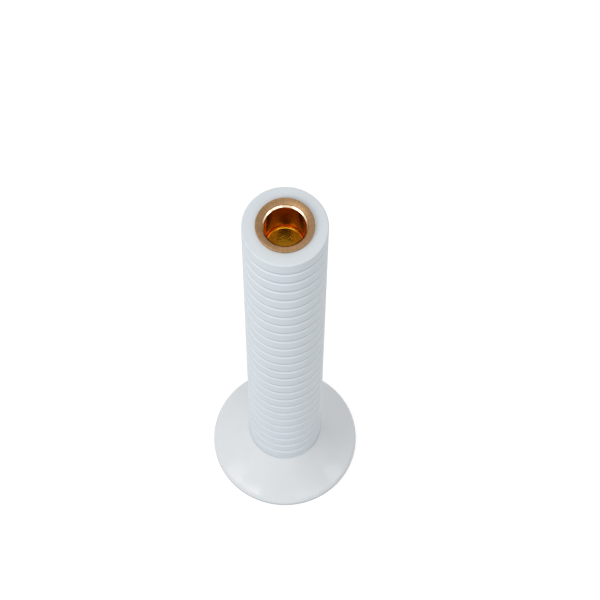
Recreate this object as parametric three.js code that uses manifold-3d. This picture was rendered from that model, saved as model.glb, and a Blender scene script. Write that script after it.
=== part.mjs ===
// Taper candle holder: a turned column of equal rings stands on a flared foot, and a brass
// candle cup hangs by its flange in the top of the column. Millimetres, +Z up. The origin is
// on the tabletop, under the middle of the foot.
import * as THREE from "three";
import { mergeVertices } from "three/addons/utils/BufferGeometryUtils.js";
import Module from "manifold-3d";

// Fits: the gap on each side of a piece that slides into another
const fitGap = 0.3;

// Foot, the flared base
const footDiameter = 93;
const footHeight = 27; // from the tabletop to the seat of the column
const rimHeight = 3.6; // upright edge of the foot, up to the sharp corner before rounding
const rimEase = 0.8; // rounding under the rim
const shoulderRound = 2.4; // rounding between the rim and the flare
const flareHollow = 2.2; // how far the flare's guide point lies inside the straight cone
const footLedge = 0.3; // ledge left round the column

// Column
const columnDiameter = 46;
const columnLength = 306;
const ringCount = 26;
const ringRound = 2.4; // rounding of a ring's edges, which meets the next ring's in a groove
const columnEdgeRound = 0.8; // rounding of the top edge
const spigotDiameter = 30; // tenon under the column, in the socket of the foot
const spigotLength = 8;

// Candle cup, turned brass
const candleDiameter = 21.6; // a dinner taper, at its base
const candleSlack = 0.5; // play round the candle at the mouth
const cupTaper = 1.2; // how much narrower the bore is at its floor, on the diameter
const cupDepth = 22.5; // from the column's top face down to the cup's floor
const cupWall = 1.5;
const cupFloor = 1.2;
const cupCornerRound = 1.4; // inside corner at the floor
const cupHeelRound = 2; // outside corner under the floor
const flangeReach = 4.65; // width of the flange, from the bore to its outer edge
const flangeHeight = 2.1;
const noseRise = 1; // widest level of the flange, above its seat
const noseRound = 0.6; // rounding of the flange's outer edge
const flangeDish = 1.3; // how far the flange's face falls on its way in
const innerRound = 0.7; // rounding of the flange's inner edge
const lipWidth = 0.9; // bevel between that edge and the bore

// Bolt, washer and insert that hold the column to the foot
const boltDiameter = 8;
const boltLength = 36; // under the head
const boltHeadAcross = 13; // across the flats
const boltHeadHeight = 5.3;
const boltHeadCone = 0.5; // height of the cone turned on the head's corners
const boltPointChamfer = 1;
const washerReach = 7.5; // ring width beyond the bolt
const washerThickness = 1.8;
const wrenchRoom = 1.5; // gap round the washer, for a socket wrench
const headRoom = 1; // between the bolt's head and the pad
const insertWall = 2;
const insertLength = 20;
const collarReach = 2; // insert's collar beyond its sleeve
const collarThickness = 1.5;
const boltTipRoom = 3; // drilled depth beyond the bolt's tip

// Felt pad under the foot
const padThickness = 2;
const padInset = 1; // depth of the recess that the pad is glued into
const padMargin = 4.5; // ring of the foot left bare round the pad

// Facets of a full turn
const largeTurn = 48;
const cupTurn = 36;
const columnTurn = 30;
const smallTurn = 24;
const curveSteps = 6;
const ringSteps = 2; // for the rounding of a ring's edge
const quarterTurn = Math.PI / 2;

// Points closer than this are one point
const weldDistance = 1e-4;

// Levels
const underside = padThickness - padInset;
const columnTop = footHeight + columnLength;
const ringPitch = columnLength / ringCount;
const spigotEnd = footHeight - spigotLength;
const socketFloor = spigotEnd - fitGap;
const headLevel = padThickness + headRoom;
const boltSeat = headLevel + boltHeadHeight;
const washerTop = boltSeat + washerThickness;
const boltTip = boltSeat + boltLength;

// Radii
const columnRadius = columnDiameter / 2;
const footRadius = footDiameter / 2;
const spigotRadius = spigotDiameter / 2;
const mouthRadius = (candleDiameter + candleSlack) / 2;
const cupBodyRadius = mouthRadius + cupWall;
const boltRadius = boltDiameter / 2;
const boltHole = boltRadius + fitGap;
const washerRadius = boltRadius + washerReach;
const insertRadius = boltHole + insertWall;
const collarRadius = insertRadius + collarReach;
const padRadius = footRadius - padMargin;

const lacquer = { color: 0xe3e7ea, roughness: 0.42, metalness: 0 };
const brass = { color: 0xb98a4e, roughness: 0.3, metalness: 1 };
const zincSteel = { color: 0xb4b8ba, roughness: 0.4, metalness: 1 };
const felt = { color: 0x5b5d60, roughness: 1, metalness: 0 };

const wasm = await Module();
wasm.setup();

function mesh(name, geometry, finish) {
  const made = new THREE.Mesh(geometry, new THREE.MeshStandardMaterial(finish));
  made.name = name;
  return made;
}

// A profile of (radius, height) points turned about the Z axis
function turned(profile, facets) {
  return new THREE.LatheGeometry(profile, facets).rotateX(quarterTurn);
}

function at(radius, height) {
  return new THREE.Vector2(radius, height);
}

// A quarter of an ellipse about (radius, height), between two angles
function quarter(radius, height, across, up, from, to, steps = curveSteps) {
  const arc = new THREE.EllipseCurve(radius, height, across, up, from, to, to < from);
  return arc.getPoints(steps);
}

// A closed geometry as a solid that can be joined or cut
function solid(geometry) {
  const bare = geometry.clone();
  bare.deleteAttribute("normal");
  bare.deleteAttribute("uv");
  const merged = mergeVertices(bare, weldDistance);
  const points = new Float32Array(merged.attributes.position.array);
  const corners = new Uint32Array(merged.index.array);
  return new wasm.Manifold(new wasm.Mesh({ numProp: 3, vertProperties: points, triVerts: corners }));
}

function geometryOf(made) {
  const data = made.getMesh();
  const geometry = new THREE.BufferGeometry();
  geometry.setAttribute("position", new THREE.BufferAttribute(data.vertProperties, 3));
  geometry.setIndex(new THREE.BufferAttribute(data.triVerts, 1));
  geometry.computeVertexNormals();
  return geometry;
}

// The flared foot: socket on top, bolt hole through it, wrench pocket and pad recess below
function foot() {
  const corner = at(footRadius, underside + rimHeight);
  const seatEdge = at(columnRadius + footLedge, footHeight);
  const along = seatEdge.clone().sub(corner);
  const inward = at(-along.y, along.x).normalize();
  const middle = corner.clone().add(seatEdge).divideScalar(2);
  const guide = middle.addScaledVector(inward, flareHollow);
  const flareStart = guide.clone().sub(corner).setLength(shoulderRound).add(corner);
  const pocketRadius = washerRadius + wrenchRoom;
  const socketRadius = spigotRadius + fitGap;

  const outline = new THREE.Path();
  outline.moveTo(boltHole, socketFloor);
  outline.lineTo(boltHole, washerTop);
  outline.lineTo(pocketRadius, washerTop);
  outline.lineTo(pocketRadius, padThickness);
  outline.lineTo(padRadius + fitGap, padThickness);
  outline.lineTo(padRadius + fitGap, underside);
  outline.lineTo(footRadius - rimEase, underside);
  outline.quadraticCurveTo(footRadius, underside, footRadius, underside + rimEase);
  outline.lineTo(footRadius, corner.y - shoulderRound);
  outline.quadraticCurveTo(corner.x, corner.y, flareStart.x, flareStart.y);
  outline.quadraticCurveTo(guide.x, guide.y, seatEdge.x, seatEdge.y);
  outline.lineTo(socketRadius, footHeight);
  outline.lineTo(socketRadius, socketFloor);
  outline.lineTo(boltHole, socketFloor);
  return turned(outline.getPoints(curveSteps), largeTurn);
}

// The column: tenon and insert hole below, round-edged rings, cup pocket on top
function column() {
  const insertHole = insertRadius + fitGap;
  const collarHole = collarRadius + fitGap;
  const collarTop = spigotEnd + collarThickness;
  const drillTop = Math.max(boltTip + boltTipRoom, spigotEnd + insertLength + boltTipRoom);
  const cupHole = cupBodyRadius + fitGap;
  const cupHoleFloor = columnTop - cupDepth - cupFloor - fitGap;

  const profile = [
    at(0, drillTop),
    at(boltHole, drillTop),
    at(boltHole, spigotEnd + insertLength + fitGap),
    at(insertHole, spigotEnd + insertLength + fitGap),
    at(insertHole, collarTop),
    at(collarHole, collarTop),
    at(collarHole, spigotEnd),
    at(spigotRadius, spigotEnd),
    at(spigotRadius, footHeight),
    at(columnRadius, footHeight),
  ];
  const rootRadius = columnRadius - ringRound;
  for (let ring = 1; ring < ringCount; ring += 1) {
    const groove = footHeight + ring * ringPitch;
    const below = groove - ringRound;
    const above = groove + ringRound;
    const shoulder = quarter(rootRadius, below, ringRound, ringRound, 0, quarterTurn, ringSteps);
    const underEdge = quarter(rootRadius, above, ringRound, ringRound, -quarterTurn, 0, ringSteps);
    profile.push(...shoulder, ...underEdge.slice(1));
  }
  const edgeCentre = columnTop - columnEdgeRound;
  const edgeRadius = columnRadius - columnEdgeRound;
  profile.push(...quarter(edgeRadius, edgeCentre, columnEdgeRound, columnEdgeRound, 0, quarterTurn));
  profile.push(at(cupHole, columnTop), at(cupHole, cupHoleFloor), at(0, cupHoleFloor));
  return turned(profile, columnTurn);
}

// The candle cup: a tapered thimble under a dished flange that rests on the column. A narrow
// bevel leads the candle from the flange's inner edge into the bore.
function candleCup() {
  const flangeRadius = mouthRadius + flangeReach;
  const lipRadius = mouthRadius + lipWidth;
  const ridgeRadius = flangeRadius - noseRound;
  const ridge = columnTop + flangeHeight;
  const nose = columnTop + noseRise;
  const lip = ridge - flangeDish - innerRound;
  const mouth = lip - lipWidth;
  const floor = columnTop - cupDepth;
  const bottom = floor - cupFloor;
  const floorRadius = mouthRadius - cupTaper / 2;
  const heelRadius = floorRadius + cupWall - cupHeelRound;
  const cornerRadius = floorRadius - cupCornerRound;

  const profile = [
    at(0, bottom),
    ...quarter(heelRadius, bottom + cupHeelRound, cupHeelRound, cupHeelRound, -quarterTurn, 0),
    at(cupBodyRadius, mouth),
    at(cupBodyRadius, columnTop),
    ...quarter(ridgeRadius, nose, noseRound, noseRise, -quarterTurn, 0),
    ...quarter(ridgeRadius, nose, noseRound, ridge - nose, 0, quarterTurn).slice(1),
    ...quarter(lipRadius + innerRound, lip, innerRound, innerRound, quarterTurn, 2 * quarterTurn),
    at(mouthRadius, mouth),
    ...quarter(cornerRadius, floor + cupCornerRound, cupCornerRound, cupCornerRound, 0, -quarterTurn),
    at(0, floor),
  ];
  return turned(profile, cupTurn);
}

// Flanged insert in the tenon, with the hole that the bolt screws into
function threadedInsert() {
  const top = spigotEnd + insertLength;
  const collarTop = spigotEnd + collarThickness;
  const profile = [
    at(boltHole, spigotEnd),
    at(collarRadius, spigotEnd),
    at(collarRadius, collarTop),
    at(insertRadius, collarTop),
    at(insertRadius, top),
    at(boltHole, top),
    at(boltHole, spigotEnd),
  ];
  return turned(profile, smallTurn);
}

// Hexagon bolt: the corners of its head are turned off to a cone, as on a stamped bolt
function footBolt() {
  const cornerRadius = boltHeadAcross / Math.sqrt(3);
  const hexagon = new THREE.Shape();
  for (let corner = 0; corner < 6; corner += 1) {
    const turn = (corner * Math.PI) / 3;
    const x = cornerRadius * Math.cos(turn);
    const y = cornerRadius * Math.sin(turn);
    if (corner === 0) hexagon.moveTo(x, y);
    else hexagon.lineTo(x, y);
  }
  const prism = new THREE.ExtrudeGeometry(hexagon, { depth: boltHeadHeight, bevelEnabled: false });
  prism.translate(0, 0, headLevel);
  const flatRadius = boltHeadAcross / 2;
  const stockRadius = cornerRadius + fitGap;
  const turnedHead = turned(
    [
      at(0, headLevel),
      at(flatRadius, headLevel),
      at(stockRadius, headLevel + boltHeadCone),
      at(stockRadius, boltSeat),
      at(0, boltSeat),
    ],
    smallTurn,
  );
  const shankRoot = headLevel + boltHeadHeight / 2;
  const shank = turned(
    [
      at(0, shankRoot),
      at(boltRadius, shankRoot),
      at(boltRadius, boltTip - boltPointChamfer),
      at(boltRadius - boltPointChamfer, boltTip),
      at(0, boltTip),
    ],
    smallTurn,
  );
  return geometryOf(solid(prism).intersect(solid(turnedHead)).add(solid(shank)));
}

function washer() {
  const profile = [
    at(boltHole, boltSeat),
    at(washerRadius, boltSeat),
    at(washerRadius, washerTop),
    at(boltHole, washerTop),
    at(boltHole, boltSeat),
  ];
  return turned(profile, smallTurn);
}

// Felt disc that covers the pocket and carries the holder
function feltPad() {
  return turned([at(0, 0), at(padRadius, 0), at(padRadius, padThickness), at(0, padThickness)], largeTurn);
}

const holder = new THREE.Group();
holder.name = "taper_candle_holder";
holder.add(
  mesh("foot", foot(), lacquer),
  mesh("column", column(), lacquer),
  mesh("candle_cup", candleCup(), brass),
  mesh("threaded_insert", threadedInsert(), zincSteel),
  mesh("foot_bolt", footBolt(), zincSteel),
  mesh("washer", washer(), zincSteel),
  mesh("felt_pad", feltPad(), felt),
);

export default holder;
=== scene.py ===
import math

import bmesh
import bpy
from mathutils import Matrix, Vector


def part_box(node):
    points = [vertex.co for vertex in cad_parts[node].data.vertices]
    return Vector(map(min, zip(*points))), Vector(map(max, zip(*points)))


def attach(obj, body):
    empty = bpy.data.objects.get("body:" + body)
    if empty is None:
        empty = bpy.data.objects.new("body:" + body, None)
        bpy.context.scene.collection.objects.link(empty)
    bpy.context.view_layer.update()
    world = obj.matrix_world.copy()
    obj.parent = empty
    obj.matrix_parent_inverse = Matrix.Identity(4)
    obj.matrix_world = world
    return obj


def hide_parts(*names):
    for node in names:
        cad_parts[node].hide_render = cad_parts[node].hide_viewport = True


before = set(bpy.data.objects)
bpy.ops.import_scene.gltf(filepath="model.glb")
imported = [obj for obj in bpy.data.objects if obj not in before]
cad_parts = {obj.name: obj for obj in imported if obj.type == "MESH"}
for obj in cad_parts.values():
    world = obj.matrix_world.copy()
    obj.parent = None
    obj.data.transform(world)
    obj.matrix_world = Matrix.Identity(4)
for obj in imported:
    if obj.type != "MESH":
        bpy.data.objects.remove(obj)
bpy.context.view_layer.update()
print("frame loaded:", ", ".join(sorted(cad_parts)))

mm = 0.001
turn = 2 * math.pi
weldDistance = 0.004  # mm; points closer than this become one
sharpAngle = 38  # degrees; an edge that bends more is shaded as sharp
noiseRange = (0.3, 0.7)  # nearly all values of a noise texture lie between these
boltRadius = 4  # mm
fitGap = 0.3  # mm left round a piece in its hole


# shared helpers

def linear(hexColour):  # sRGB hex to the linear colour that a shader takes
    channels = [int(hexColour[i:i + 2], 16) / 255 for i in (1, 3, 5)]
    return [c / 12.92 if c <= 0.04045 else ((c + 0.055) / 1.055) ** 2.4 for c in channels] + [1]


def addNode(tree, kind, settings=None, inputs=None):  # an input is a value, or a socket to link from
    node = tree.nodes.new(kind)
    for name, value in (settings or {}).items():
        if name == "stops":  # of a colour ramp: places from 0 to 1, rising, with a colour each
            stops = node.color_ramp.elements
            while len(stops) > 1:
                stops.remove(stops[-1])
            for number, (position, colour) in enumerate(value):
                stop = stops.new(position) if number else stops[0]
                stop.position = position
                stop.color = colour
        else:
            setattr(node, name, value)
    for name, value in (inputs or {}).items():
        if isinstance(value, bpy.types.NodeSocket):
            tree.links.new(value, node.inputs[name])
        else:
            node.inputs[name].default_value = value
    return node


def newMaterial(name):  # a bare material with its output
    material = bpy.data.materials.new(name)
    material.use_nodes = True
    material.node_tree.nodes.clear()
    return material, material.node_tree, addNode(material.node_tree, "ShaderNodeOutputMaterial")


def eased(corners, steps=6):  # (radius, height, easing) corners; an easing turns the corner into an arc
    points = []
    for i, (r, z, easing) in enumerate(corners):
        here = Vector((r, z))
        if easing <= 0 or i in (0, len(corners) - 1):
            points.append((r, z))
            continue
        back = (Vector(corners[i - 1][:2]) - here).normalized()
        on = (Vector(corners[i + 1][:2]) - here).normalized()
        half = back.angle(on) / 2
        centre = here + (back + on).normalized() * easing / math.sin(half)
        start = here + back * easing / math.tan(half) - centre
        end = here + on * easing / math.tan(half) - centre
        sweep = start.angle_signed(end)
        for k in range(steps + 1):
            a = -sweep * k / steps
            x = start.x * math.cos(a) - start.y * math.sin(a)
            y = start.x * math.sin(a) + start.y * math.cos(a)
            points.append((centre.x + x, centre.y + y))
    return points


def bend(start, guide, end, steps):  # points of a curve that leaves and arrives along the lines to its guide
    points = []
    for k in range(steps + 1):
        t = k / steps
        point = Vector(start) * (1 - t) ** 2 + Vector(guide) * 2 * t * (1 - t) + Vector(end) * t * t
        points.append((point.x, point.y))
    return points


def arc(radial, height, across, up, start, end, steps):  # part of an ellipse, angles in quarter turns
    angles = [math.pi / 2 * (start + (end - start) * k / steps) for k in range(steps + 1)]
    return [(radial + across * math.cos(a), height + up * math.sin(a)) for a in angles]


def latheMesh(bm, rows, segments, closed=False):  # a row: (radius, height) in mm, or a function of the angle
    rings = []
    for row in rows:
        ring = []
        for k in range(segments):
            a = turn * k / segments
            r, z = row(a) if callable(row) else row
            ring.append(bm.verts.new((r * mm * math.cos(a), r * mm * math.sin(a), z * mm)))
            if r == 0:
                break  # a pole is one point
        rings.append(ring)
    pairs = list(zip(rings, rings[1:] + rings[:1])) if closed else list(zip(rings, rings[1:]))
    for low, high in pairs:
        for k in range(segments):
            n = (k + 1) % segments
            corners = [low[k % len(low)], low[n % len(low)], high[n % len(high)], high[k % len(high)]]
            bm.faces.new(list(dict.fromkeys(corners)))


def finishMesh(name, bm, material):
    bmesh.ops.remove_doubles(bm, verts=bm.verts, dist=weldDistance * mm)
    bmesh.ops.recalc_face_normals(bm, faces=bm.faces)
    mesh = bpy.data.meshes.new(name)
    bm.to_mesh(mesh)
    bm.free()
    mesh.shade_smooth()
    mesh.set_sharp_from_angle(angle=math.radians(sharpAngle))
    mesh.materials.append(material)
    piece = bpy.data.objects.new(name, mesh)
    bpy.context.collection.objects.link(piece)
    return piece


def turnedPiece(name, rows, segments, material, closed=False):
    bm = bmesh.new()
    latheMesh(bm, rows, segments, closed)
    return finishMesh(name, bm, material)


def standFor(piece, node, body):
    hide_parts(node)
    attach(piece, body)
    print("made", piece.name, "with", len(piece.data.polygons), "faces, on", body)


def heights(node):  # lowest and highest level of a CAD node, in mm
    low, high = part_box(node)
    return low.z / mm, high.z / mm


def radius(node):  # how far a CAD node reaches along +X, in mm
    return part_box(node)[1].x / mm


# camera

photoView = {
    "tilt": 67.18,  # degrees below level
    "back": 478.2,  # mm in front of the column's axis
    "up": 1370.7,  # mm above the table
    "focalPixels": 2202.6,
    "axisPixel": 285.04,  # column of the image that the holder's axis stands on
    "imagePixels": 600,
    "sensorWidth": 36,  # mm
}


def makeCamera(v):
    data = bpy.data.cameras.new("studioCamera")
    data.sensor_width = v["sensorWidth"]
    data.lens = v["sensorWidth"] * v["focalPixels"] / v["imagePixels"]
    data.shift_x = 0.5 - v["axisPixel"] / v["imagePixels"]
    camera = bpy.data.objects.new("studioCamera", data)
    camera.location = (0, -v["back"] * mm, v["up"] * mm)
    camera.rotation_euler = (math.radians(90 - v["tilt"]), 0, 0)
    bpy.context.collection.objects.link(camera)
    bpy.context.scene.camera = camera
    print("camera:", round(data.lens, 1), "mm lens")


makeCamera(photoView)


# lacquer on turned wood: sprayed and satin, so soft highlights, a faint orange peel and no grain

ringCount = 26
lacquerLook = {
    "rim": "#A9B6C1",  # painted shade: the upright edge of the foot darker, where it meets the table
    "foot": "#E9EDF0",
    "column": "#D7E0E6",  # sprayed apart from the foot, a little bluer
    "topFace": "#E2E9EE",
    "paintedLipHighlight": "#E9F0F6",  # painted highlight on the shoulder of each ring
    "paintedGrooveShade": "#B8C3CC",  # painted shade in the grooves
    "rimLevel": 3,  # mm above the table
    "rimFade": 0.8,  # mm from the painted shade on the rim to the foot's coat
    "seatFade": 0.1,  # mm from the foot's coat to the column's
    "topFade": 0.2,  # mm from the column's coat to its top face's
    "paintedLowLight": "#E4ECF3",  # painted light: the lowest rings lighter, fading out up the column
    "paintedLowLightShare": 0.6,
    "paintedLowLightReach": 110,  # mm up the column
    "ringCoats": [  # share of a ring's height from the middle of the groove below it, and the coat, painted shade or painted highlight there
        (0.16, "paintedGrooveShade"), (0.25, "column"), (0.81, "column"),
        (0.87, "paintedLipHighlight"), (0.92, "paintedLipHighlight"), (0.95, "paintedGrooveShade"),
    ],
    "shade": 0.98,  # where the coat lies thicker
    "cloudSize": 14,  # mm
    "footRoughness": 0.16,
    "columnRoughness": 0.4,
    "roughnessFade": 0.5,  # mm from one to the other
    "refraction": 1.48,
    "peelSize": 0.9,  # mm
    "peelHeight": 0.006,  # mm
}


def makeLacquer(look, seat, top, rings):
    material, tree, output = newMaterial("satinLacquerOnBeech")
    place = addNode(tree, "ShaderNodeTexCoord").outputs["Object"]
    level = addNode(tree, "ShaderNodeSeparateXYZ", None, {0: place}).outputs["Z"]
    ring = addNode(tree, "ShaderNodeMapRange", {"clamp": False},
                   {"Value": level, "From Min": seat * mm, "From Max": top * mm, "To Max": rings})
    share = addNode(tree, "ShaderNodeMath", {"operation": "FRACT"}, {0: ring.outputs["Result"]})
    ringStops = [(part, linear(look[coat])) for part, coat in look["ringCoats"]]
    # painted shade in each groove and a painted highlight on each ring's shoulder, over the column's coat
    ringCoatAndPaintedLight = addNode(tree, "ShaderNodeValToRGB", {"stops": ringStops}, {"Fac": share.outputs[0]})
    bands = [  # mm above the table, and the coat or painted shade there
        (look["rimLevel"], "rim"), (look["rimLevel"] + look["rimFade"], "foot"),
        (seat + look["seatFade"], "foot"), (seat + 2 * look["seatFade"], "column"),
        (top - 2 * look["topFade"], "column"), (top - look["topFade"], "topFace"),
    ]
    bandStops = [(up / top, linear(look[coat])) for up, coat in bands]
    height = addNode(tree, "ShaderNodeMath", {"operation": "DIVIDE"}, {0: level, 1: top * mm})
    # the bands give the foot's rim its painted shade
    bandCoatAndShade = addNode(tree, "ShaderNodeValToRGB", {"stops": bandStops}, {"Fac": height.outputs[0]})
    onRings = addNode(tree, "ShaderNodeMath", {"operation": "COMPARE"},
                      {0: level, 1: (seat + top) / 2 * mm, 2: (top - seat) * (1 - 1 / rings) / 2 * mm})
    colour = addNode(tree, "ShaderNodeMix", {"data_type": "RGBA"},
                     {"Factor": onRings.outputs[0],
                      "A": bandCoatAndShade.outputs["Color"], "B": ringCoatAndPaintedLight.outputs["Color"]})
    # painted light: the lowest rings made lighter, fading out up the column
    fading = addNode(tree, "ShaderNodeMapRange", None,
                     {"Value": level,
                      "From Min": seat * mm, "From Max": (seat + look["paintedLowLightReach"]) * mm,
                      "To Min": look["paintedLowLightShare"], "To Max": 0})
    onColumn = addNode(tree, "ShaderNodeMath", {"operation": "GREATER_THAN"},
                       {0: level, 1: (seat + look["seatFade"] / 2) * mm})
    lowLightShare = addNode(tree, "ShaderNodeMath", {"operation": "MULTIPLY"},
                     {0: fading.outputs["Result"], 1: onColumn.outputs[0]})
    coatAndPaintedLowLight = addNode(tree, "ShaderNodeMix", {"data_type": "RGBA"},
                      {"Factor": lowLightShare.outputs[0],
                       "A": colour.outputs["Result"], "B": linear(look["paintedLowLight"])})
    cloud = addNode(tree, "ShaderNodeTexNoise", None,
                    {"Vector": place, "Scale": 1 / (look["cloudSize"] * mm), "Detail": 2})
    shade = addNode(tree, "ShaderNodeMapRange", None,
                    {"Value": cloud.outputs["Fac"], "From Min": noiseRange[0], "From Max": noiseRange[1],
                     "To Min": look["shade"], "To Max": 1})
    shaded = addNode(tree, "ShaderNodeVectorMath", {"operation": "SCALE"},
                     {0: coatAndPaintedLowLight.outputs["Result"], "Scale": shade.outputs["Result"]})
    satin = addNode(tree, "ShaderNodeMapRange", None,
                    {"Value": level, "From Min": (seat - look["roughnessFade"]) * mm, "From Max": seat * mm,
                     "To Min": look["footRoughness"], "To Max": look["columnRoughness"]})
    gloss = addNode(tree, "ShaderNodeMath", {"operation": "MULTIPLY"},
                    {0: satin.outputs["Result"], 1: shade.outputs["Result"]})
    peel = addNode(tree, "ShaderNodeTexNoise", None,
                   {"Vector": place, "Scale": 1 / (look["peelSize"] * mm), "Detail": 1})
    bump = addNode(tree, "ShaderNodeBump", None,
                   {"Height": peel.outputs["Fac"], "Distance": look["peelHeight"] * mm, "Strength": 1})
    paint = addNode(tree, "ShaderNodeBsdfPrincipled", None,
                    {"Base Color": shaded.outputs["Vector"], "Roughness": gloss.outputs[0],
                     "IOR": look["refraction"], "Normal": bump.outputs["Normal"]})
    tree.links.new(paint.outputs["BSDF"], output.inputs["Surface"])
    return material


lacquer = makeLacquer(lacquerLook, heights("foot")[1], heights("column")[1], ringCount)


# foot: a flared turning with a thin eased rim

footShape = {
    "rimHeight": 3.6,
    "rimEase": 0.8,
    "shoulderRound": 2.4,
    "shoulderSteps": 8,
    "flareHollow": 2.2,  # from the straight cone in to the guide of the flare's curve
    "flareSteps": 24,
    "ledge": 0.3,  # round the column
    "socketRadius": 15.3,
    "pocketRadius": 13,  # round the bolt's head
    "edgeEase": 0.3,
    "segments": 160,
}


def makeFoot(s):
    underside, seat = heights("foot")
    rim = radius("foot")
    hole = boltRadius + fitGap
    socketFloor = heights("column")[0] - fitGap
    pocketTop = heights("washer")[1]
    recessRadius = radius("felt_pad") + fitGap
    recessTop = heights("felt_pad")[1]
    corner = Vector((rim, underside + s["rimHeight"]))
    edge = Vector((radius("column") + s["ledge"], seat))
    along = edge - corner
    inward = Vector((-along.y, along.x)).normalized()
    guide = (corner + edge) / 2 + inward * s["flareHollow"]
    start = corner + (guide - corner).normalized() * s["shoulderRound"]
    low = Vector((rim, corner.y - s["shoulderRound"]))
    rimRows = eased([
        (hole, socketFloor, 0),
        (hole, pocketTop, s["edgeEase"]),
        (s["pocketRadius"], pocketTop, s["edgeEase"]),
        (s["pocketRadius"], recessTop, s["edgeEase"]),
        (recessRadius, recessTop, 0),
        (recessRadius, underside, s["edgeEase"]),
        (rim, underside, s["rimEase"]),
        (low.x, low.y, 0),
    ])
    shoulder = bend(low, corner, start, s["shoulderSteps"])[1:-1]
    flare = bend(start, guide, edge, s["flareSteps"])
    seatRows = [(s["socketRadius"], seat), (s["socketRadius"], socketFloor)]
    return turnedPiece("footTurning", rimRows + shoulder + flare + seatRows, s["segments"], lacquer, True)


standFor(makeFoot(footShape), "foot", "holder")


# column: the ringed wall is one groove cell, repeated up the column by a node tree

columnShape = {
    "rings": ringCount,
    "ringRound": 2.4,  # rounding of a ring's edges
    "rowCrowding": 0.1,  # 1 spreads the rows evenly, less crowds them into the groove
    "rowsPerRing": 24,
    "segments": 144,
    "topEdge": 0.8,
    "topSteps": 8,
    "footEdge": 0.25,
    "spigotRadius": 15,
    "spigotEase": 0.6,
    "holeEase": 0.3,
    "collarDepth": 1.5,
    "insertHole": 6.6,
    "tipRoom": 3,  # drilled past the tip of the bolt
    "cupHole": 12.85,
}


def makeRingTree():
    tree = bpy.data.node_groups.new("ringedWall", "GeometryNodeTree")
    sockets = {
        "NodeSocketFloat": ["Radius", "Foot", "Pitch", "Edge Round", "Crowding"],
        "NodeSocketInt": ["Grooves", "Segments", "Rows"],
        "NodeSocketMaterial": ["Finish"],
    }
    for kind, names in sockets.items():
        for name in names:
            tree.interface.new_socket(name=name, in_out="INPUT", socket_type=kind)
    tree.interface.new_socket(name="Geometry", in_out="OUTPUT", socket_type="NodeSocketGeometry")
    size = addNode(tree, "NodeGroupInput").outputs
    position = addNode(tree, "GeometryNodeInputPosition").outputs[0]
    flat = addNode(tree, "ShaderNodeSeparateXYZ", None, {0: position}).outputs
    known = {socket.name: socket for socket in [*size, flat["X"], flat["Y"]]}
    steps = [  # a name, an operation, and terms that are known names or numbers
        ("columns", "ADD", "Segments", 1),
        ("lines", "ADD", "Rows", 1),
        ("around", "ADD", "X", 0.5),
        ("angle", "MULTIPLY", "around", turn),
        ("away", "ABSOLUTE", "Y"),
        ("cubed", "POWER", "away", 3),
        ("side", "SIGN", "Y"),
        ("cube", "MULTIPLY", "cubed", "side"),
        ("evenly", "MULTIPLY", "Crowding", "Y"),
        ("others", "SUBTRACT", 1, "Crowding"),
        ("crowded", "MULTIPLY", "others", "cube"),
        ("spread", "ADD", "evenly", "crowded"),
        ("halfPitch", "DIVIDE", "Pitch", 2),
        ("level", "MULTIPLY", "spread", "halfPitch"),
        ("off", "ABSOLUTE", "level"),
        ("across", "DIVIDE", "off", "Edge Round"),
        ("left", "SUBTRACT", 1, "across"),
        ("inside", "MAXIMUM", "left", 0),
        ("square", "MULTIPLY", "inside", "inside"),
        ("under", "SUBTRACT", 1, "square"),
        ("edge", "SQRT", "under"),
        ("missing", "SUBTRACT", 1, "edge"),
        ("cut", "MULTIPLY", "missing", "Edge Round"),
        ("reach", "SUBTRACT", "Radius", "cut"),
        ("cosine", "COSINE", "angle"),
        ("sine", "SINE", "angle"),
        ("wallX", "MULTIPLY", "reach", "cosine"),
        ("wallY", "MULTIPLY", "reach", "sine"),
        ("firstGroove", "ADD", "Foot", "Pitch"),
    ]
    for name, operation, *terms in steps:
        inputs = {number: known.get(term, term) for number, term in enumerate(terms)}
        known[name] = addNode(tree, "ShaderNodeMath", {"operation": operation}, inputs).outputs[0]
    sheet = addNode(tree, "GeometryNodeMeshGrid", None,
                    {"Size X": 1, "Size Y": 2, "Vertices X": known["columns"], "Vertices Y": known["lines"]})
    bent = addNode(tree, "ShaderNodeCombineXYZ", None,
                   {"X": known["wallX"], "Y": known["wallY"], "Z": known["level"]})
    cell = addNode(tree, "GeometryNodeSetPosition", None,
                   {"Geometry": sheet.outputs["Mesh"], "Position": bent.outputs[0]})
    start = addNode(tree, "ShaderNodeCombineXYZ", None, {"Z": known["firstGroove"]})
    offset = addNode(tree, "ShaderNodeCombineXYZ", None, {"Z": size["Pitch"]})
    stack = addNode(tree, "GeometryNodeMeshLine", None,
                    {"Count": size["Grooves"],
                     "Start Location": start.outputs[0], "Offset": offset.outputs[0]})
    copies = addNode(tree, "GeometryNodeInstanceOnPoints", None,
                     {"Points": stack.outputs["Mesh"], "Instance": cell.outputs["Geometry"]})
    wall = addNode(tree, "GeometryNodeRealizeInstances", None, {"Geometry": copies.outputs["Instances"]})
    painted = addNode(tree, "GeometryNodeSetMaterial", None,
                      {"Geometry": wall.outputs["Geometry"], "Material": size["Finish"]})
    addNode(tree, "NodeGroupOutput", None, {"Geometry": painted.outputs["Geometry"]})
    return tree


def ringedWall(values):  # the grooved wall as a plain mesh
    tree = makeRingTree()
    carrier = bpy.data.objects.new("ringedWallCarrier", bpy.data.meshes.new("ringedWallCarrier"))
    bpy.context.collection.objects.link(carrier)
    modifier = carrier.modifiers.new("rings", "NODES")
    modifier.node_group = tree
    for socket in tree.interface.items_tree:
        if socket.in_out == "INPUT":
            modifier[socket.identifier] = values[socket.name]
    shown = carrier.evaluated_get(bpy.context.evaluated_depsgraph_get())
    mesh = bpy.data.meshes.new_from_object(shown)
    carrier.modifiers.clear()
    bpy.data.objects.remove(carrier)
    return mesh


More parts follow.
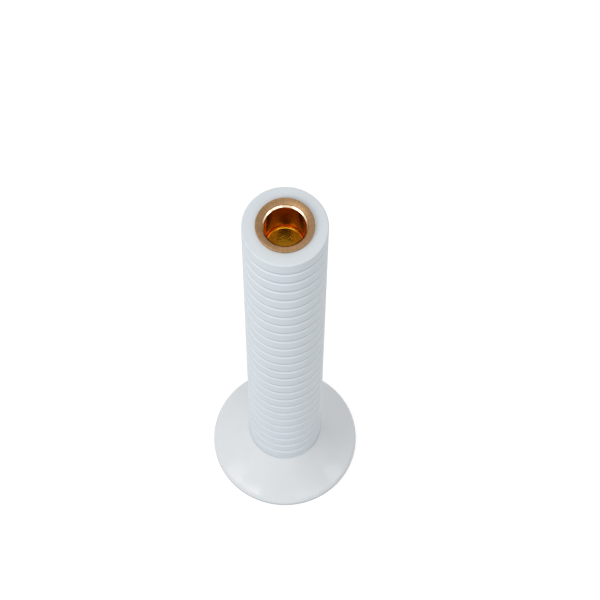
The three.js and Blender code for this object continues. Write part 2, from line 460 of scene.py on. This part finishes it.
def makeColumn(s):
    seat = heights("foot")[1]
    spigotEnd, top = heights("column")
    reach = radius("column")
    pitch = (top - seat) / s["rings"]
    drill = boltRadius + fitGap
    drillTop = heights("foot_bolt")[1] + s["tipRoom"]
    insertTop = heights("threaded_insert")[1] + fitGap
    collarHole = radius("threaded_insert") + fitGap
    collarTop = spigotEnd + s["collarDepth"]
    cupHoleFloor = heights("candle_cup")[0] - fitGap
    wall = ringedWall({
        "Radius": reach * mm, "Foot": seat * mm, "Pitch": pitch * mm,
        "Edge Round": s["ringRound"] * mm, "Crowding": s["rowCrowding"],
        "Grooves": s["rings"] - 1, "Segments": s["segments"], "Rows": s["rowsPerRing"], "Finish": lacquer,
    })
    bm = bmesh.new()
    bm.from_mesh(wall)
    latheMesh(bm, eased([
        (0, drillTop, 0),
        (drill, drillTop, 0),
        (drill, insertTop, 0),
        (s["insertHole"], insertTop, 0),
        (s["insertHole"], collarTop, 0),
        (collarHole, collarTop, 0),
        (collarHole, spigotEnd, s["holeEase"]),
        (s["spigotRadius"], spigotEnd, s["spigotEase"]),
        (s["spigotRadius"], seat, 0),
        (reach, seat, s["footEdge"]),
        (reach, seat + pitch / 2, 0),
    ]), s["segments"])
    latheMesh(bm, eased([
        (reach, top - pitch / 2, 0),
        (reach, top, s["topEdge"]),
        (s["cupHole"], top, s["holeEase"]),
        (s["cupHole"], cupHoleFloor, 0),
        (0, cupHoleFloor, 0),
    ], s["topSteps"]), s["segments"])
    return finishMesh("columnTurning", bm, lacquer)


standFor(makeColumn(columnShape), "column", "holder")


# brass: turned; the flange is brushed, so it glows evenly, and the bore is polished, so it mirrors

brassLook = {
    "colour": "#B28F6A",
    "shade": "#A5835E",
    "lipColour": "#F6E2BE",
    "boreColour": "#DA9823",
    "flangeRoughness": 0.56,
    "boreRoughness": 0.15,
    "smearRoughness": 0.1,  # that comes and goes with the smears
    "smearSize": 5,  # mm
    "latheSize": 0.35,  # mm between lathe lines
    "latheHeight": 0.008,  # mm
    "strokeSize": 1.1,  # mm between brush strokes across the flange, coarser than real so that they show
    "strokeShade": 0.12,  # share of brightness that they take or give
    "flangeFade": 0.1,  # mm above and below the edge of the lip
    "boreFade": 0.6,  # mm from the lip's colour to the bore's
    "wallFlare": 0.75,  # mm that the middle of the wall moves out over that height
    "floorMargin": 0.3,  # mm under the bore's floor, where the outside begins
}


def makeBrass(look, lipLevel, boreLevel, floorLevel, wallMiddle, crownRadius):
    material, tree, output = newMaterial("turnedBrass")
    place = addNode(tree, "ShaderNodeTexCoord").outputs["Object"]
    axis = addNode(tree, "ShaderNodeSeparateXYZ", None, {0: place}).outputs
    flat = addNode(tree, "ShaderNodeCombineXYZ", None, {"X": axis["X"], "Y": axis["Y"]})
    out = addNode(tree, "ShaderNodeVectorMath", {"operation": "LENGTH"}, {0: flat.outputs[0]})
    inWall = addNode(tree, "ShaderNodeMapRange", None,
                     {"Value": axis["Z"],
                      "From Min": (boreLevel - look["boreFade"]) * mm, "From Max": boreLevel * mm,
                      "To Min": wallMiddle * mm, "To Max": (wallMiddle + look["wallFlare"]) * mm})
    onFlange = addNode(tree, "ShaderNodeMapRange", {"interpolation_type": "SMOOTHSTEP"},
                       {"Value": axis["Z"], "From Min": (lipLevel - look["flangeFade"]) * mm,
                        "From Max": (lipLevel + look["flangeFade"]) * mm})
    smear = addNode(tree, "ShaderNodeTexNoise", None,
                    {"Vector": place, "Scale": 1 / (look["smearSize"] * mm), "Detail": 3})
    known = {"X": axis["X"], "Y": axis["Y"], "Z": axis["Z"], "out": out.outputs["Value"],
             "inWall": inWall.outputs["Result"], "onFlange": onFlange.outputs["Result"],
             "smear": smear.outputs["Fac"]}
    steps = [  # a name, an operation, and terms that are known names or numbers
        ("beyond", "GREATER_THAN", "out", "inWall"),
        ("below", "LESS_THAN", "Z", (floorLevel - look["floorMargin"]) * mm),
        ("outside", "MAXIMUM", "beyond", "below"),
        ("upright", "MULTIPLY", "Z", "outside"),
        ("line", "ADD", "out", "upright"),
        ("angle", "ARCTAN2", "Y", "X"),
        ("around", "MULTIPLY", "angle", crownRadius * mm),
        ("dull", "MAXIMUM", "onFlange", "outside"),
        ("uneven", "SUBTRACT", "smear", 0.5),
        ("patches", "MULTIPLY", "uneven", look["smearRoughness"]),
    ]
    for name, operation, *terms in steps:
        inputs = {number: known.get(term, term) for number, term in enumerate(terms)}
        known[name] = addNode(tree, "ShaderNodeMath", {"operation": operation}, inputs).outputs[0]
    lines = addNode(tree, "ShaderNodeTexNoise", {"noise_dimensions": "1D"},
                    {"W": known["line"], "Scale": 1 / (look["latheSize"] * mm), "Detail": 3})
    stroke = addNode(tree, "ShaderNodeTexNoise", {"noise_dimensions": "1D"},
                     {"W": known["around"], "Scale": 1 / (look["strokeSize"] * mm), "Detail": 2})
    streak = addNode(tree, "ShaderNodeMapRange", None,
                     {"Value": stroke.outputs["Fac"], "From Min": noiseRange[0], "From Max": noiseRange[1],
                      "To Min": 1 - look["strokeShade"], "To Max": 1 + look["strokeShade"]})
    tint = addNode(tree, "ShaderNodeMix", {"data_type": "RGBA"},
                   {"Factor": smear.outputs["Fac"], "A": linear(look["colour"]), "B": linear(look["shade"])})
    brushed = addNode(tree, "ShaderNodeVectorMath", {"operation": "SCALE"},
                      {0: tint.outputs["Result"], "Scale": streak.outputs["Result"]})
    aboveBore = addNode(tree, "ShaderNodeMapRange", {"interpolation_type": "SMOOTHSTEP"},
                        {"Value": axis["Z"],
                         "From Min": (boreLevel - look["boreFade"]) * mm, "From Max": boreLevel * mm})
    gold = addNode(tree, "ShaderNodeMix", {"data_type": "RGBA"},
                   {"Factor": aboveBore.outputs["Result"],
                    "A": linear(look["boreColour"]), "B": linear(look["lipColour"])})
    brass = addNode(tree, "ShaderNodeMix", {"data_type": "RGBA"},
                    {"Factor": known["dull"], "A": gold.outputs["Result"], "B": brushed.outputs["Vector"]})
    finish = addNode(tree, "ShaderNodeMapRange", None,
                     {"Value": known["dull"],
                      "To Min": look["boreRoughness"], "To Max": look["flangeRoughness"]})
    rough = addNode(tree, "ShaderNodeMath", {"operation": "ADD"},
                    {0: finish.outputs["Result"], 1: known["patches"]})
    bump = addNode(tree, "ShaderNodeBump", None,
                   {"Height": lines.outputs["Fac"], "Distance": look["latheHeight"] * mm, "Strength": 1})
    metal = addNode(tree, "ShaderNodeBsdfPrincipled", None,
                    {"Base Color": brass.outputs["Result"], "Metallic": 1, "Roughness": rough.outputs[0],
                     "Normal": bump.outputs["Normal"]})
    tree.links.new(metal.outputs["BSDF"], output.inputs["Surface"])
    return material


# candle cup: a tapered thimble under a dished flange with rounded edges

cupShape = {
    "mouthRadius": 11.05,
    "wall": 1.5,
    "floorThickness": 1.2,
    "taper": 0.6,  # from the mouth's radius to the floor's
    "cornerRound": 1.4,  # inside, round the floor
    "heelRound": 2,  # outside, under it
    "neck": 0.4,  # upright stretch under the flange
    "noseRise": 1,  # widest level of the flange, above its seat
    "noseRound": 0.6,
    "noseSteps": 8,
    "dish": 1.3,  # fall of the flange's face on its way in
    "faceReach": 1.5,  # in from the ridge to the bend of that face
    "faceFall": 0.32,  # fall as far as that bend
    "innerRound": 0.7,  # rounding of its inner edge
    "innerStart": 1.44,  # quarter turns, where that rounding takes over from the face
    "lipWidth": 0.9,  # polished bevel between that and the bore
    "lipEase": 0.5,
    "lipSteps": 10,
    "segments": 160,
    "arcSteps": 16,
}


def makeCup(s):
    seat = heights("column")[1]
    bottom, crown = heights("candle_cup")
    flange = radius("candle_cup")
    mouth = s["mouthRadius"]
    body = mouth + s["wall"]
    floor = bottom + s["floorThickness"]
    floorRadius = mouth - s["taper"]
    wallMiddle = mouth + (s["wall"] - s["taper"]) / 2
    inner = mouth + s["lipWidth"]
    ridge = flange - s["noseRound"]
    nose = seat + s["noseRise"]
    lip = crown - s["dish"] - s["innerRound"]
    bore = lip - s["lipWidth"]
    rows = eased([
        (0, bottom, 0),
        (floorRadius + s["wall"], bottom, s["heelRound"]),
        (body, seat - s["neck"], 0),
        (body, seat, 0),
    ])
    rows += arc(ridge, nose, s["noseRound"], s["noseRise"], -1, 0, s["noseSteps"])
    rows += arc(ridge, nose, s["noseRound"], crown - nose, 0, 1, s["noseSteps"])[1:]
    edge = arc(inner + s["innerRound"], lip, s["innerRound"], s["innerRound"],
               s["innerStart"], 2, s["arcSteps"])
    guide = (ridge - s["faceReach"], crown - s["faceFall"])
    rows += bend((ridge, crown), guide, edge[0], s["arcSteps"])[1:]
    rows += edge[1:]
    rows += eased([
        (inner, lip, 0),
        (mouth, bore, s["lipEase"]),
        (floorRadius, floor, s["cornerRound"]),
        (0, floor, 0),
    ], s["lipSteps"])[1:]
    brass = makeBrass(brassLook, lip, bore, floor, wallMiddle, ridge)
    return turnedPiece("cupTurning", rows, s["segments"], brass)


standFor(makeCup(cupShape), "candle_cup", "candle_cup")


# zinc-plated steel: a thin dull plating, slightly blue and a little blotchy

zincLook = {
    "colour": "#C3C8CC",
    "shade": "#A9AFB3",
    "smooth": 0.28,  # roughness of the lighter blotches
    "rough": 0.46,  # and of the darker ones
    "grainSize": 1.2,  # mm between blotches, coarser than real so that they show
}


def makeZinc(look):
    material, tree, output = newMaterial("zincPlatedSteel")
    place = addNode(tree, "ShaderNodeTexCoord").outputs["Object"]
    grain = addNode(tree, "ShaderNodeTexNoise", None,
                    {"Vector": place, "Scale": 1 / (look["grainSize"] * mm), "Detail": 4})
    tint = addNode(tree, "ShaderNodeMix", {"data_type": "RGBA"},
                   {"Factor": grain.outputs["Fac"], "A": linear(look["colour"]), "B": linear(look["shade"])})
    finish = addNode(tree, "ShaderNodeMapRange", None,
                     {"Value": grain.outputs["Fac"], "To Min": look["smooth"], "To Max": look["rough"]})
    metal = addNode(tree, "ShaderNodeBsdfPrincipled", None,
                    {"Base Color": tint.outputs["Result"], "Metallic": 1,
                     "Roughness": finish.outputs["Result"]})
    tree.links.new(metal.outputs["BSDF"], output.inputs["Surface"])
    return material


zinc = makeZinc(zincLook)


# bolt, washer and insert: hidden in the foot, with their threads cut as real helices

threadShape = {"pitch": 1.25, "depth": 0.6, "play": 0.12, "rowsPerTurn": 10, "segments": 48}
boltShape = {
    "across": 13,  # from flat to flat of the head
    "headHeight": 5.3,
    "endShare": 0.97,  # of that width, for the head's end
    "endChamfer": 30,  # degrees
    "faceShare": 0.95,  # of that width, for the round face under the head
    "faceHeight": 0.3,
    "plainShank": 6,
    "tipChamfer": 1,
}
washerShape = {"edgeEase": 0.3, "segments": 72}
insertShape = {
    "collarReach": 2,  # past the sleeve
    "collarThickness": 1.5,
    "collarChamfer": 0.3,
    "woodPitch": 3,
    "woodDepth": 0.9,
    "runIn": 4,  # rows over which that thread grows to its depth
}


def sawtooth(height, angle, pitch):  # 0 at a crest of the helix, 1 at its root
    phase = (height / pitch - angle / turn) % 1
    return 1 - abs(2 * phase - 1)


def helixRow(height, outer, depth, pitch):
    return lambda a: (outer - depth * sawtooth(height, a, pitch), height)


def makeBolt(s, t):
    head, tip = heights("foot_bolt")
    seat = head + s["headHeight"]
    flat = s["across"] / 2
    end = flat * s["endShare"]
    face = flat * s["faceShare"]
    faceLevel = seat - s["faceHeight"]
    cone = math.tan(math.radians(s["endChamfer"]))

    def hexagon(a):
        return flat / math.cos((a + math.pi / 6) % (math.pi / 3) - math.pi / 6)

    rows = [
        (0, head),
        (end, head),
        lambda a: (hexagon(a), head + (hexagon(a) - end) * cone),
        lambda a: (hexagon(a), faceLevel),
        (face, faceLevel),
        (face, seat),
        (boltRadius, seat),
        (boltRadius, seat + s["plainShank"]),
    ]
    step = t["pitch"] / t["rowsPerTurn"]
    count = int((tip - s["tipChamfer"] - seat - s["plainShank"]) / step)
    for k in range(1, count):
        fade = min(1, k / t["rowsPerTurn"])
        rows.append(helixRow(seat + s["plainShank"] + k * step, boltRadius, t["depth"] * fade, t["pitch"]))
    rows += [(boltRadius - s["tipChamfer"], tip), (0, tip)]
    return turnedPiece("footBoltThreaded", rows, t["segments"], zinc)


def makeWasher(s):
    low, high = heights("washer")
    outer = radius("washer")
    hole = boltRadius + fitGap
    ease = s["edgeEase"]
    rows = [(hole, high), (hole, low)]
    rows += eased([(hole, low, 0), (outer, low, ease), (outer, high, ease), (hole, high, 0)])[1:-1]
    return turnedPiece("washerStamped", rows, s["segments"], zinc, True)


def makeInsert(s, t):
    low, high = heights("threaded_insert")
    collar = radius("threaded_insert")
    sleeve = collar - s["collarReach"]
    collarTop = low + s["collarThickness"]
    bore = boltRadius + t["play"]
    step = t["pitch"] / t["rowsPerTurn"]
    count = int((high - low) / step)
    rows = [helixRow(high - k * step, bore, t["depth"], t["pitch"]) for k in range(count)]
    rows += [
        (boltRadius + t["depth"], low),
        (collar - s["collarChamfer"], low),
        (collar, low + s["collarChamfer"]),
        (collar, collarTop),
        (sleeve, collarTop),
    ]
    woodStep = s["woodPitch"] / t["rowsPerTurn"]
    for k in range(int((high - collarTop) / woodStep) - 1):
        depth = s["woodDepth"] * min(1, k / s["runIn"])
        rows.append(helixRow(collarTop + (k + 1) * woodStep, sleeve, depth, s["woodPitch"]))
    rows += [(sleeve - s["woodDepth"], high), (boltRadius + fitGap, high)]
    return turnedPiece("insertThreaded", rows, t["segments"], zinc, True)


standFor(makeBolt(boltShape, threadShape), "foot_bolt", "holder")
standFor(makeWasher(washerShape), "washer", "holder")
standFor(makeInsert(insertShape, threadShape), "threaded_insert", "holder")


# felt: pressed wool, a dull grey mat of short fibres with flecks of lighter wool

feltLook = {
    "colour": "#47494D",
    "fleck": "#A3A4A5",
    "fleckRange": (0.48, 0.72),  # of the fibres' noise, from none to full
    "fibreSize": 1.1,  # mm, coarser than wool so that it shows
    "fibreCurl": 2.5,
    "fibreHeight": 0.16,  # mm
    "matSize": 5,  # mm between thick and thin places of the mat
    "matRange": (0.35, 0.65),  # of the mat's noise, from thin to thick
    "thinShade": 0.66,
    "sheen": 0.4,
}


def makeFelt(look):
    material, tree, output = newMaterial("pressedWoolFelt")
    place = addNode(tree, "ShaderNodeTexCoord").outputs["Object"]
    fibre = addNode(tree, "ShaderNodeTexNoise", None,
                    {"Vector": place, "Scale": 1 / (look["fibreSize"] * mm), "Detail": 6,
                     "Distortion": look["fibreCurl"]})
    mat = addNode(tree, "ShaderNodeTexNoise", None,
                  {"Vector": place, "Scale": 1 / (look["matSize"] * mm), "Detail": 3})
    flecks = addNode(tree, "ShaderNodeMapRange", None,
                     {"Value": fibre.outputs["Fac"],
                      "From Min": look["fleckRange"][0], "From Max": look["fleckRange"][1]})
    tint = addNode(tree, "ShaderNodeMix", {"data_type": "RGBA"},
                   {"Factor": flecks.outputs["Result"],
                    "A": linear(look["colour"]), "B": linear(look["fleck"])})
    thin = addNode(tree, "ShaderNodeMapRange", None,
                   {"Value": mat.outputs["Fac"],
                    "From Min": look["matRange"][0], "From Max": look["matRange"][1],
                    "To Min": look["thinShade"], "To Max": 1})
    uneven = addNode(tree, "ShaderNodeVectorMath", {"operation": "SCALE"},
                     {0: tint.outputs["Result"], "Scale": thin.outputs["Result"]})
    height = addNode(tree, "ShaderNodeMath", {"operation": "ADD"},
                     {0: fibre.outputs["Fac"], 1: mat.outputs["Fac"]})
    bump = addNode(tree, "ShaderNodeBump", None,
                   {"Height": height.outputs[0], "Distance": look["fibreHeight"] * mm, "Strength": 1})
    wool = addNode(tree, "ShaderNodeBsdfPrincipled", None,
                   {"Base Color": uneven.outputs["Vector"], "Roughness": 1, "Sheen Weight": look["sheen"],
                    "Normal": bump.outputs["Normal"]})
    tree.links.new(wool.outputs["BSDF"], output.inputs["Surface"])
    return material


# felt pad: a flat disc in the recess under the foot

feltShape = {"edgeEase": 0.5, "segments": 160}


def makePad(s):
    low, high = heights("felt_pad")
    reach = radius("felt_pad")
    rows = eased([(0, low, 0), (reach, low, s["edgeEase"]), (reach, high, 0), (0, high, 0)])
    return turnedPiece("feltDisc", rows, s["segments"], makeFelt(feltLook))


standFor(makePad(feltShape), "felt_pad", "holder")


# floor and light

studio = {
    "floorSize": 24,  # m
    "floorDrop": 0.05,  # mm under the pad
    "floorColour": "#D0D0D0",
    "whiteShare": 0.6,  # of the floor that is seen; the rest is lit paper, which keeps the shadow
    "whiteLevel": 1.42,
    "boxes": [  # name, degrees round from the front, degrees up, brightness on a white card, size in m
        ("topSoftbox", 180, 84, 0.13, 0.5),
        ("highLeftSoftbox", -48, 40, 0.38, 0.9),
        ("highRightSoftbox", 30, 40, 0.12, 0.9),
        ("lowLeftSoftbox", -66, 20, 0.06, 0.55),
        ("lowRightSoftbox", 66, 20, 0.05, 0.5),
        ("backSoftbox", 186, 14, 0.12, 0.7),
    ],
    "boxDistance": 1.6,  # m
    "boxAim": 0.15,  # m above the table
    "glow": [(0, 0.5), (46, 0.46), (60, 0.31)],  # degrees up, and the light that comes from there
    "backdrop": [(0, 1), (30, 1), (46, 0.46), (60, 0.31)],  # the same for what is seen, directly or mirrored
    "standRise": 67,  # degrees up, in front: a dark tripod, which the bore mirrors back
    "standShade": [(22, 1), (12, 0.05)],  # degrees off it, and the share of the room's light left there
}


def makeSoftbox(s, name, angle, rise, brightness, size):
    data = bpy.data.lights.new(name, "AREA")
    data.shape = "SQUARE"
    data.size = size
    data.energy = brightness * (math.pi * s["boxDistance"]) ** 2
    a, e = math.radians(angle), math.radians(rise)
    towards = Vector((math.sin(a) * math.cos(e), -math.cos(a) * math.cos(e), math.sin(e)))
    lamp = bpy.data.objects.new(name, data)
    lamp.location = towards * s["boxDistance"] + Vector((0, 0, s["boxAim"]))
    lamp.rotation_euler = towards.to_track_quat("Z", "Y").to_euler()
    bpy.context.collection.objects.link(lamp)


def seenRays(tree):  # 1 for a ray that shows the background to the eye, also in metal or glass
    ray = addNode(tree, "ShaderNodeLightPath").outputs
    plain = addNode(tree, "ShaderNodeMath", {"operation": "MAXIMUM"},
                    {0: ray["Is Camera Ray"], 1: ray["Is Glossy Ray"]})
    seen = addNode(tree, "ShaderNodeMath", {"operation": "MAXIMUM"},
                   {0: plain.outputs[0], 1: ray["Is Transmission Ray"]})
    return seen.outputs[0]


def makeFloor(s):  # white paper, clear from below so that the underside can be seen
    material, tree, output = newMaterial("paleStudioPaper")
    share = addNode(tree, "ShaderNodeMath", {"operation": "MULTIPLY"},
                    {0: seenRays(tree), 1: s["whiteShare"]})
    paper = addNode(tree, "ShaderNodeBsdfDiffuse", None, {"Color": linear(s["floorColour"])})
    white = addNode(tree, "ShaderNodeEmission", None, {"Color": (1, 1, 1, 1), "Strength": s["whiteLevel"]})
    mixed = addNode(tree, "ShaderNodeMixShader", None,
                    {0: share.outputs[0], 1: paper.outputs[0], 2: white.outputs[0]})
    behind = addNode(tree, "ShaderNodeNewGeometry").outputs["Backfacing"]
    clear = addNode(tree, "ShaderNodeBsdfTransparent")
    oneSided = addNode(tree, "ShaderNodeMixShader", None,
                       {0: behind, 1: mixed.outputs[0], 2: clear.outputs[0]})
    tree.links.new(oneSided.outputs[0], output.inputs["Surface"])
    reach, level = s["floorSize"] / 2, -s["floorDrop"] * mm
    corners = [(-reach, -reach, level), (reach, -reach, level), (reach, reach, level), (-reach, reach, level)]
    floor = bpy.data.objects.new("paperFloor", bpy.data.meshes.new("paperFloor"))
    floor.data.from_pydata(corners, [], [(0, 1, 2, 3)])
    floor.data.materials.append(material)
    bpy.context.collection.objects.link(floor)


def makeWorld(s):
    world = bpy.data.worlds.new("paperRoom")
    world.use_nodes = True
    tree = world.node_tree
    way = addNode(tree, "ShaderNodeTexCoord").outputs["Object"]
    up = addNode(tree, "ShaderNodeSeparateXYZ", None, {0: way}).outputs["Z"]
    room = []
    for levels in (s["glow"], s["backdrop"]):
        stops = [(math.sin(math.radians(rise)), (light, light, light, 1)) for rise, light in levels]
        room.append(addNode(tree, "ShaderNodeValToRGB", {"stops": stops}, {"Fac": up}).outputs["Color"])
    shown = addNode(tree, "ShaderNodeMix", {"data_type": "RGBA"},
                    {"Factor": seenRays(tree), "A": room[0], "B": room[1]})
    tilt = math.radians(s["standRise"])
    near = addNode(tree, "ShaderNodeVectorMath", {"operation": "DOT_PRODUCT"},
                   {0: way, 1: (0, -math.cos(tilt), math.sin(tilt))})
    standStops = [(math.cos(math.radians(off)), (left, left, left, 1)) for off, left in s["standShade"]]
    stand = addNode(tree, "ShaderNodeValToRGB", {"stops": standStops}, {"Fac": near.outputs["Value"]})
    dimmed = addNode(tree, "ShaderNodeMix", {"data_type": "RGBA", "blend_type": "MULTIPLY"},
                     {"Factor": 1, "A": shown.outputs["Result"], "B": stand.outputs["Color"]})
    tree.links.new(dimmed.outputs["Result"], tree.nodes["Background"].inputs["Color"])
    bpy.context.scene.world = world


makeFloor(studio)
for box in studio["boxes"]:
    makeSoftbox(studio, *box)
makeWorld(studio)
bpy.context.scene.view_settings.view_transform = "Standard"
print("studio:", len(studio["boxes"]), "softboxes over white paper")
